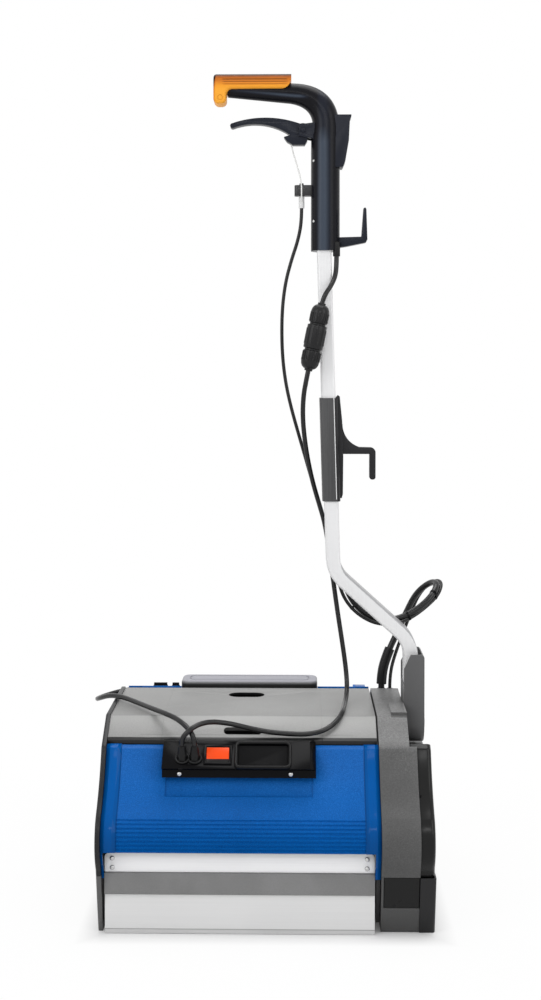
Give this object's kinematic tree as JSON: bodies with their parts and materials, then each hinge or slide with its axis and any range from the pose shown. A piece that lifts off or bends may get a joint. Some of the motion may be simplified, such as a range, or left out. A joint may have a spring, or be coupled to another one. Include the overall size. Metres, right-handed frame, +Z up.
{
  "type": "floor scrubber",
  "caption": "Compact upright floor scrubber with twin brush rollers, a pick-up drum, a blue moulded cover, sheet guards and a tilting handle with a grip and trigger.",
  "frame": {"origin": "centre of the footprint, on the floor", "axes": "+X along the rollers towards the drive housing, +Y direction of travel away from the viewer, +Z up"},
  "size_m": [0.5051, 0.392, 1.149],
  "materials": {
    "blue_shell": "glossy blue moulding with a fine grained centre panel",
    "dark_plastic": "dark grey moulding, fine grain",
    "grey_plastic": "mid grey moulding, fine grain",
    "housing_grey": "grey moulding with a sand-like grain",
    "black_plastic": "black moulding",
    "tank_grey": "grey moulded lid and tank, fine grain",
    "pale_plastic": "pale grey moulding",
    "guard_metal": "pale anodised sheet",
    "plate_dark": "black anodised plate",
    "frame_metal": "mill finish",
    "tube_metal": "satin silver lacquer",
    "bracket_metal": "grey coated casting",
    "steel": "bright turned steel",
    "bush_brass": "turned",
    "motor_paint": "black enamel",
    "bumper_rubber": "grey rubber strip",
    "soft_rubber": "black rubber",
    "brush_core": "white plastic core",
    "bristle_nylon": "blue nylon bristles",
    "drum_plastic": "smooth dark plastic",
    "gear_plastic": "natural acetal",
    "handle_dark": "blue-black moulding",
    "grip_orange": "orange soft-touch moulding",
    "rocker_orange": "orange translucent rocker",
    "cord_black": "black rubber sheath"
  },
  "bodies": {
    "chassis": {"left_end_plate": "dark_plastic", "left_lower_plate": "grey_plastic", "left_bearing_plate": "plate_dark", "right_bearing_plate": "plate_dark", "roller_bearings": "steel", "cross_bars": "frame_metal", "idler_studs": "steel", "motor": "motor_paint", "scraper": "soft_rubber", "drive_housing": "housing_grey", "drive_housing_lower": "grey_plastic", "gear_covers": "black_plastic", "pivot_bush": "bush_brass", "drive_outer_cover": "dark_plastic", "drive_lower_cover": "dark_plastic", "front_shell": "blue_shell", "rear_shell": "blue_shell", "carry_handle": "pale_plastic", "vent_cap": "black_plastic", "recovery_tank": "tank_grey", "tank_lid": "tank_grey", "guard_panels": "guard_metal", "bumper_strips": "bumper_rubber", "clamp_strips": "guard_metal", "cover_screws": "steel", "control_box": "black_plastic", "lead_glands": "soft_rubber", "rocker_bezel": "black_plastic", "motor_lead": "cord_black", "cable_lower": "cord_black", "control_lead": "cord_black", "loop_lead": "cord_black"},
    "front_brush": {"front_brush_spindle": "brush_core", "front_brush_bristles": "bristle_nylon"},
    "rear_brush": {"rear_brush_spindle": "brush_core", "rear_brush_bristles": "bristle_nylon"},
    "drum": {"pickup_drum": "drum_plastic", "drum_gear": "gear_plastic"},
    "rear_idler": {"rear_idler_gear": "gear_plastic"},
    "front_idler": {"front_idler_gear": "gear_plastic"},
    "rotor": {"motor_pinion": "steel"},
    "filler": {"filler_cap": "black_plastic"},
    "rocker": {"rocker_switch": "rocker_orange"},
    "flap": {"socket_lid": "black_plastic"},
    "handle": {"handle_tube": "tube_metal", "handle_glands": "soft_rubber", "pivot_bracket": "bracket_metal", "pivot_pin": "steel", "handle_column": "handle_dark", "grip_cap": "grip_orange", "switch_box": "handle_dark", "upper_cord_hook": "handle_dark", "hook_sleeve": "handle_dark", "lever_bracket": "handle_dark", "cable_anchor": "black_plastic", "power_cord_upper": "cord_black", "inline_connector": "black_plastic", "power_cord_middle": "cord_black", "cable_upper": "cord_black"},
    "trigger": {"trigger_lever": "handle_dark"}
  },
  "joints": [
    {"name": "handle_tilt", "type": "hinge", "parent": "chassis", "child": "handle", "pos_m": [0.189, 0, 0.24], "axis": [1, 0, 0], "range_deg": [-55, 55], "deforming": ["motor_lead", "cable_lower", "control_lead"]},
    {"name": "trigger_pull", "type": "hinge", "parent": "handle", "child": "trigger", "pos_m": [0.0485, 0, 1.07], "axis": [0, 1, 0], "range_deg": [0, 14], "stiffness_Nm_per_rad": 0.8, "springref_deg": -11.46},
    {"name": "front_brush_spin", "type": "hinge", "parent": "chassis", "child": "front_brush", "pos_m": [0.15, -0.097, 0.0596], "axis": [1, 0, 0], "continuous": true},
    {"name": "rear_brush_spin", "type": "hinge", "parent": "chassis", "child": "rear_brush", "pos_m": [0.15, 0.097, 0.0596], "axis": [1, 0, 0], "continuous": true},
    {"name": "drum_spin", "type": "hinge", "parent": "chassis", "child": "drum", "pos_m": [0.15, 0, 0.11147], "axis": [1, 0, 0], "continuous": true},
    {"name": "rear_idler_spin", "type": "hinge", "parent": "chassis", "child": "rear_idler", "pos_m": [0.15, 0.0507, 0.08436], "axis": [1, 0, 0], "continuous": true},
    {"name": "front_idler_spin", "type": "hinge", "parent": "chassis", "child": "front_idler", "pos_m": [0.15, -0.12361, 0.12434], "axis": [1, 0, 0], "continuous": true},
    {"name": "motor_spin", "type": "hinge", "parent": "chassis", "child": "rotor", "pos_m": [0.15, -0.112, 0.16], "axis": [1, 0, 0], "continuous": true},
    {"name": "rocker_press", "type": "hinge", "parent": "chassis", "child": "rocker", "pos_m": [-0.064, -0.14182, 0.22476], "axis": [-1, 0, 0], "range_deg": [0, 20]},
    {"name": "flap_open", "type": "hinge", "parent": "chassis", "child": "flap", "pos_m": [-0.0045, -0.13233, 0.23485], "axis": [-1, 0, 0], "range_deg": [0, 100]},
    {"name": "filler_cap_turn", "type": "hinge", "parent": "chassis", "child": "filler", "pos_m": [-0.166, 0.131, 0.25], "axis": [0, 0, 1], "range_deg": [0, 90]}
  ],
  "couplings": [
    {"joint": "drum_spin", "follows": "front_brush_spin", "ratio": -0.83333},
    {"joint": "rear_idler_spin", "follows": "front_brush_spin", "ratio": 0.90909},
    {"joint": "rear_brush_spin", "follows": "front_brush_spin", "ratio": -1},
    {"joint": "front_idler_spin", "follows": "front_brush_spin", "ratio": -2.5},
    {"joint": "motor_spin", "follows": "front_brush_spin", "ratio": 2.8571}
  ]
}
